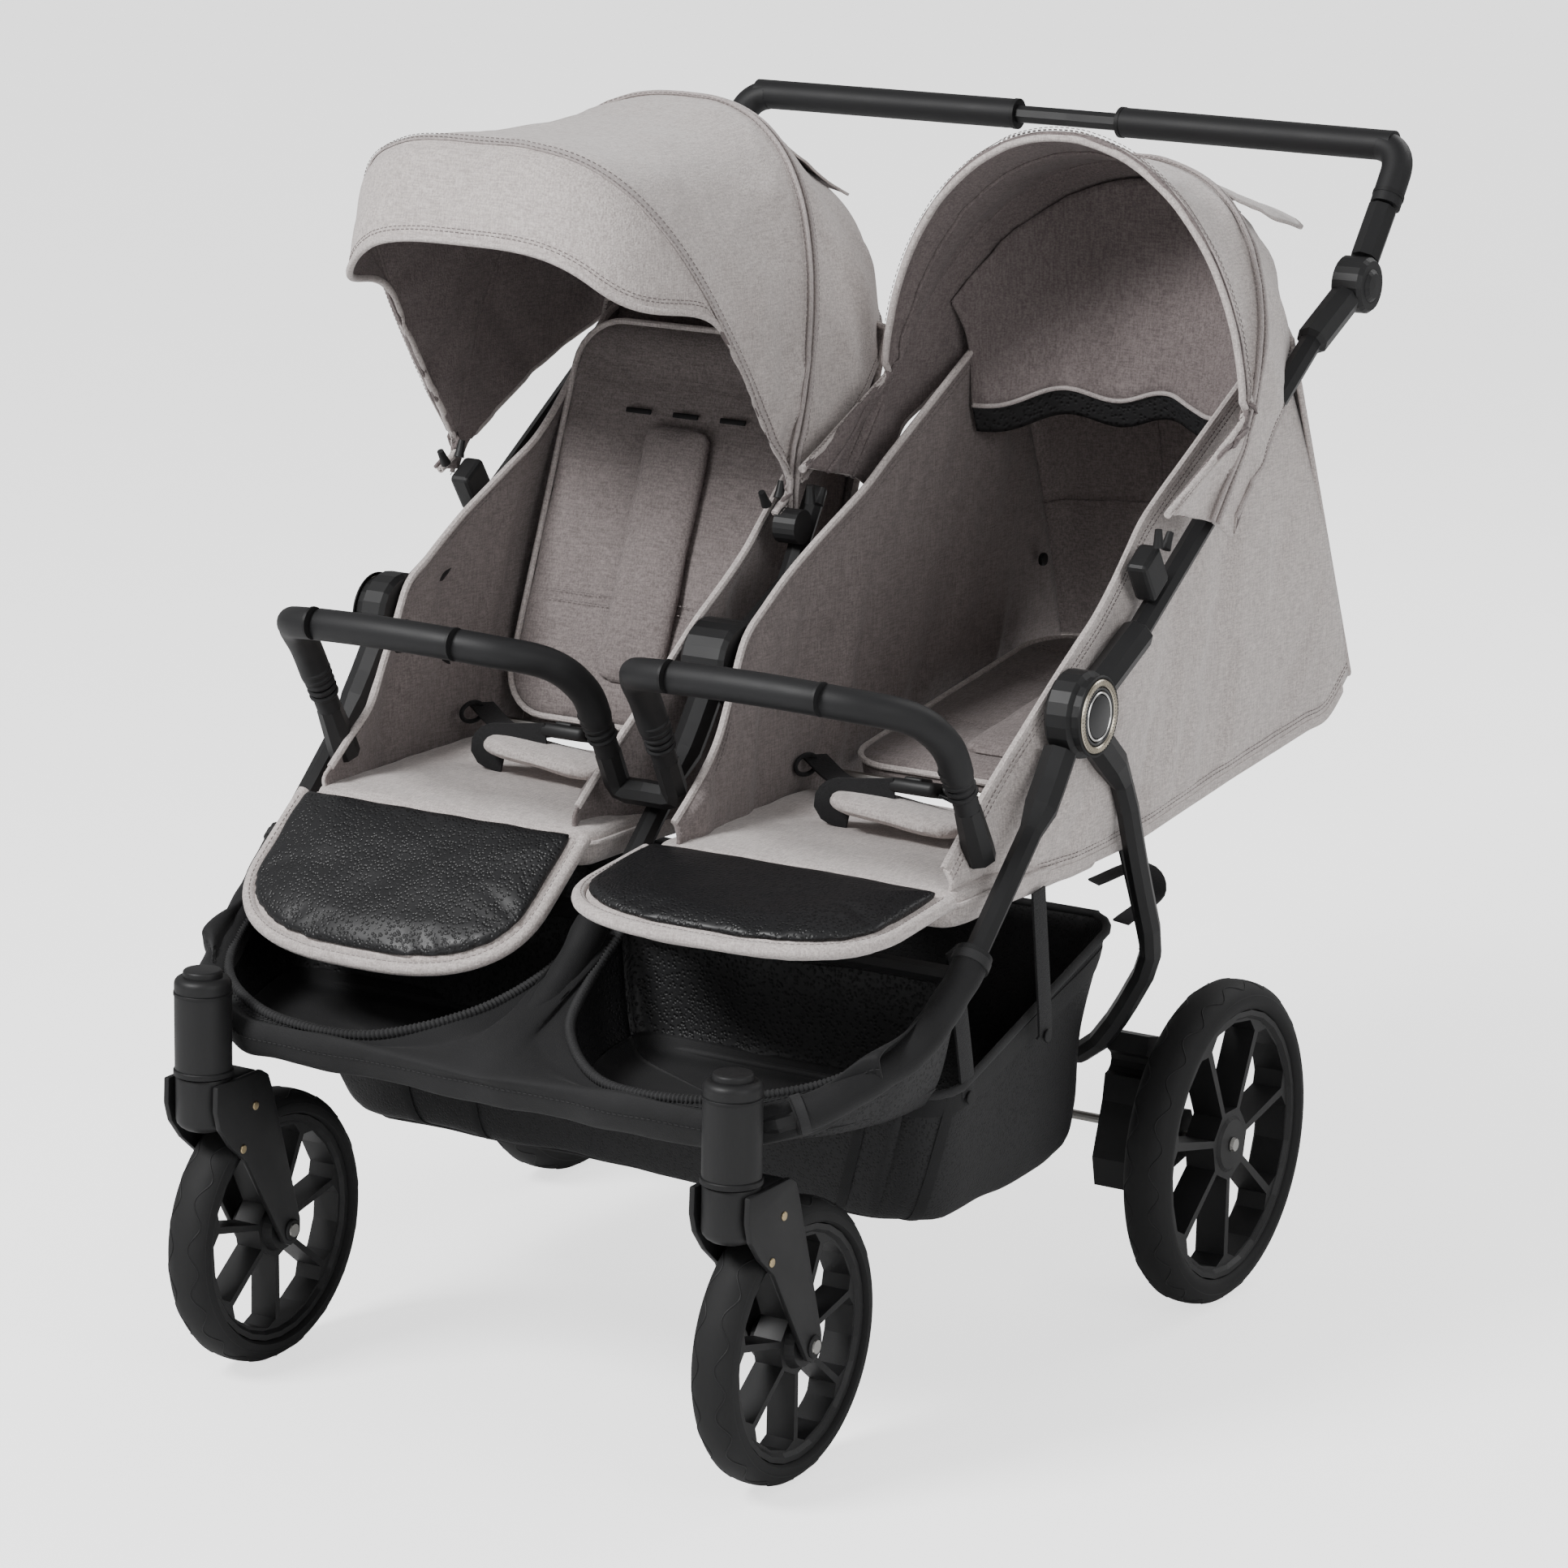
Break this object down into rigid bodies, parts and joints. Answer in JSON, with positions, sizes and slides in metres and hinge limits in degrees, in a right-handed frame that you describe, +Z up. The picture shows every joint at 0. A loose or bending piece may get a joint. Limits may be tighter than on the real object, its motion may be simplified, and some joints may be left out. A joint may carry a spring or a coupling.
{
  "type": "side-by-side twin stroller",
  "caption": "Side-by-side twin stroller with reclining seats, swivelling front wheels, bumper bars, folding canopies and a folding frame over a hanging basket.",
  "frame": {"origin": "on the ground, under the middle of the stroller's box", "axes": "+Z up, -Y the front that the children face, +X the stroller's right side as seen from in front"},
  "size_m": [0.76, 1.0739, 1.0753],
  "materials": {
    "frame_black": "matt black powder coat",
    "moulded_black": "fine-grained moulded nylon",
    "grip_foam": "closed-cell foam",
    "tyre": "matt foam-filled rubber",
    "steel": "zinc plated",
    "fabric_grey": "melange woven polyester",
    "fabric_black": "coated woven polyester and mesh"
  },
  "bodies": {
    "front_frame": {"front_frame": "frame_black", "hub_left": "moulded_black", "hub_right": "moulded_black", "hub_middle": "moulded_black", "caster_housing_left": "moulded_black", "caster_housing_right": "moulded_black", "seat_left": "fabric_grey", "seat_right": "fabric_grey", "seat_sides_left": "fabric_grey", "seat_sides_right": "fabric_grey", "apron": "fabric_black", "basket": "fabric_black", "bumper_socket_left": "moulded_black", "bumper_socket_right": "moulded_black", "bumper_socket_middle": "moulded_black", "back_hinge_left": "steel", "back_hinge_right": "steel"},
    "upper_frame": {"upper_tube_left": "frame_black", "upper_tube_right": "frame_black", "middle_post": "moulded_black", "canopy_clip_left": "moulded_black", "canopy_clip_right": "moulded_black", "handle_joint_left": "moulded_black", "handle_joint_right": "moulded_black", "canopy_left": "fabric_grey", "canopy_right": "fabric_grey"},
    "rear_frame": {"rear_frame": "frame_black", "rear_bracket_left": "moulded_black", "rear_bracket_right": "moulded_black", "rear_axle": "steel"},
    "brake_pedal": {"brake_pedal": "moulded_black"},
    "handle": {"handle_bar": "frame_black", "grip_left": "grip_foam", "grip_right": "grip_foam"},
    "handle_button_left": {"handle_button_left": "moulded_black"},
    "canopy_front_bow_left": {"canopy_front_bow_left": "steel"},
    "canopy_rear_bow_left": {"canopy_rear_bow_left": "steel"},
    "backrest_left": {"backrest_left": "fabric_grey"},
    "legrest_left": {"legrest_left": "fabric_grey"},
    "bumper_bar_left": {"bumper_bar_left": "grip_foam"},
    "caster_fork_left": {"caster_fork_left": "moulded_black", "front_axle_left": "steel"},
    "front_wheel_left": {"front_rim_left": "moulded_black", "front_tyre_left": "tyre"},
    "caster_lock_left": {"caster_lock_left": "moulded_black"},
    "rear_wheel_left": {"rear_rim_left": "moulded_black", "rear_tyre_left": "tyre"},
    "handle_button_right": {"handle_button_right": "moulded_black"},
    "canopy_front_bow_right": {"canopy_front_bow_right": "steel"},
    "canopy_rear_bow_right": {"canopy_rear_bow_right": "steel"},
    "backrest_right": {"backrest_right": "fabric_grey"},
    "legrest_right": {"legrest_right": "fabric_grey"},
    "bumper_bar_right": {"bumper_bar_right": "grip_foam"},
    "caster_fork_right": {"caster_fork_right": "moulded_black", "front_axle_right": "steel"},
    "front_wheel_right": {"front_rim_right": "moulded_black", "front_tyre_right": "tyre"},
    "caster_lock_right": {"caster_lock_right": "moulded_black"},
    "rear_wheel_right": {"rear_rim_right": "moulded_black", "rear_tyre_right": "tyre"}
  },
  "joints": [
    {"name": "frame_fold", "type": "hinge", "parent": "front_frame", "child": "upper_frame", "pos_m": [0, -0.096, 0.61], "axis": [1, 0, 0], "range_deg": [0, 148], "deforming": ["canopy_left", "canopy_right", "canopy_front_bow_left", "canopy_front_bow_right", "canopy_rear_bow_left", "canopy_rear_bow_right", "seat_sides_left", "seat_sides_right", "basket", "apron"]},
    {"name": "rear_leg_fold", "type": "hinge", "parent": "front_frame", "child": "rear_frame", "pos_m": [0, -0.096, 0.61], "axis": [1, 0, 0], "range_deg": [-40, 0]},
    {"name": "brake_press", "type": "hinge", "parent": "rear_frame", "child": "brake_pedal", "pos_m": [0, 0.118, 0.236], "axis": [-1, 0, 0], "range_deg": [0, 20]},
    {"name": "handle_tilt", "type": "hinge", "parent": "upper_frame", "child": "handle", "pos_m": [0, 0.425, 0.919], "axis": [1, 0, 0], "range_deg": [-78, 50]},
    {"name": "handle_button_press_left", "type": "slide", "parent": "upper_frame", "child": "handle_button_left", "axis": [1, 0, 0], "range_m": [0, 0.003]},
    {"name": "canopy_open_left", "type": "hinge", "parent": "upper_frame", "child": "canopy_front_bow_left", "pos_m": [-0.195, 0.02, 0.714], "axis": [-1, 0, 0], "range_deg": [0, 68]},
    {"name": "canopy_rear_follow_left", "type": "hinge", "parent": "upper_frame", "child": "canopy_rear_bow_left", "pos_m": [-0.195, 0.02, 0.714], "axis": [-1, 0, 0], "range_deg": [0, 30.6]},
    {"name": "recline_left", "type": "hinge", "parent": "front_frame", "child": "backrest_left", "pos_m": [-0.1825, 0.032, 0.488], "axis": [1, 0, 0], "range_deg": [-61, 71]},
    {"name": "legrest_tilt_left", "type": "hinge", "parent": "front_frame", "child": "legrest_left", "pos_m": [-0.1825, -0.2685, 0.474], "axis": [-1, 0, 0], "range_deg": [-20, 38]},
    {"name": "bumper_pull_left", "type": "slide", "parent": "front_frame", "child": "bumper_bar_left", "axis": [0, -0.4568, 0.8896], "range_m": [0, 0.035]},
    {"name": "caster_swivel_left", "type": "hinge", "parent": "front_frame", "child": "caster_fork_left", "pos_m": [-0.269, -0.5005, 0.282], "axis": [0, 0, 1], "continuous": true},
    {"name": "front_wheel_spin_left", "type": "hinge", "parent": "caster_fork_left", "child": "front_wheel_left", "pos_m": [-0.269, -0.4145, 0.1225], "axis": [1, 0, 0], "continuous": true},
    {"name": "caster_lock_press_left", "type": "slide", "parent": "front_frame", "child": "caster_lock_left", "axis": [0, 0, -1], "range_m": [0, 0.003]},
    {"name": "rear_wheel_spin_left", "type": "hinge", "parent": "rear_frame", "child": "rear_wheel_left", "pos_m": [-0.357, 0.202, 0.151], "axis": [1, 0, 0], "continuous": true},
    {"name": "handle_button_press_right", "type": "slide", "parent": "upper_frame", "child": "handle_button_right", "axis": [-1, 0, 0], "range_m": [0, 0.003]},
    {"name": "canopy_open_right", "type": "hinge", "parent": "upper_frame", "child": "canopy_front_bow_right", "pos_m": [0.195, 0.02, 0.714], "axis": [-1, 0, 0], "range_deg": [-53, 15]},
    {"name": "canopy_rear_follow_right", "type": "hinge", "parent": "upper_frame", "child": "canopy_rear_bow_right", "pos_m": [0.195, 0.02, 0.714], "axis": [-1, 0, 0], "range_deg": [-23.85, 6.75]},
    {"name": "recline_right", "type": "hinge", "parent": "front_frame", "child": "backrest_right", "pos_m": [0.1825, 0.032, 0.488], "axis": [1, 0, 0], "range_deg": [0, 132]},
    {"name": "legrest_tilt_right", "type": "hinge", "parent": "front_frame", "child": "legrest_right", "pos_m": [0.1825, -0.2685, 0.474], "axis": [-1, 0, 0], "range_deg": [-52, 6]},
    {"name": "bumper_pull_right", "type": "slide", "parent": "front_frame", "child": "bumper_bar_right", "axis": [0, -0.4568, 0.8896], "range_m": [0, 0.035]},
    {"name": "caster_swivel_right", "type": "hinge", "parent": "front_frame", "child": "caster_fork_right", "pos_m": [0.269, -0.5005, 0.282], "axis": [0, 0, 1], "continuous": true},
    {"name": "front_wheel_spin_right", "type": "hinge", "parent": "caster_fork_right", "child": "front_wheel_right", "pos_m": [0.269, -0.4145, 0.1225], "axis": [1, 0, 0], "continuous": true},
    {"name": "caster_lock_press_right", "type": "slide", "parent": "front_frame", "child": "caster_lock_right", "axis": [0, 0, -1], "range_m": [0, 0.003]},
    {"name": "rear_wheel_spin_right", "type": "hinge", "parent": "rear_frame", "child": "rear_wheel_right", "pos_m": [0.357, 0.202, 0.151], "axis": [1, 0, 0], "continuous": true}
  ],
  "couplings": [
    {"joint": "rear_leg_fold", "follows": "frame_fold", "ratio": -0.27027},
    {"joint": "canopy_rear_follow_left", "follows": "canopy_open_left", "ratio": 0.45},
    {"joint": "canopy_rear_follow_right", "follows": "canopy_open_right", "ratio": 0.45}
  ]
}
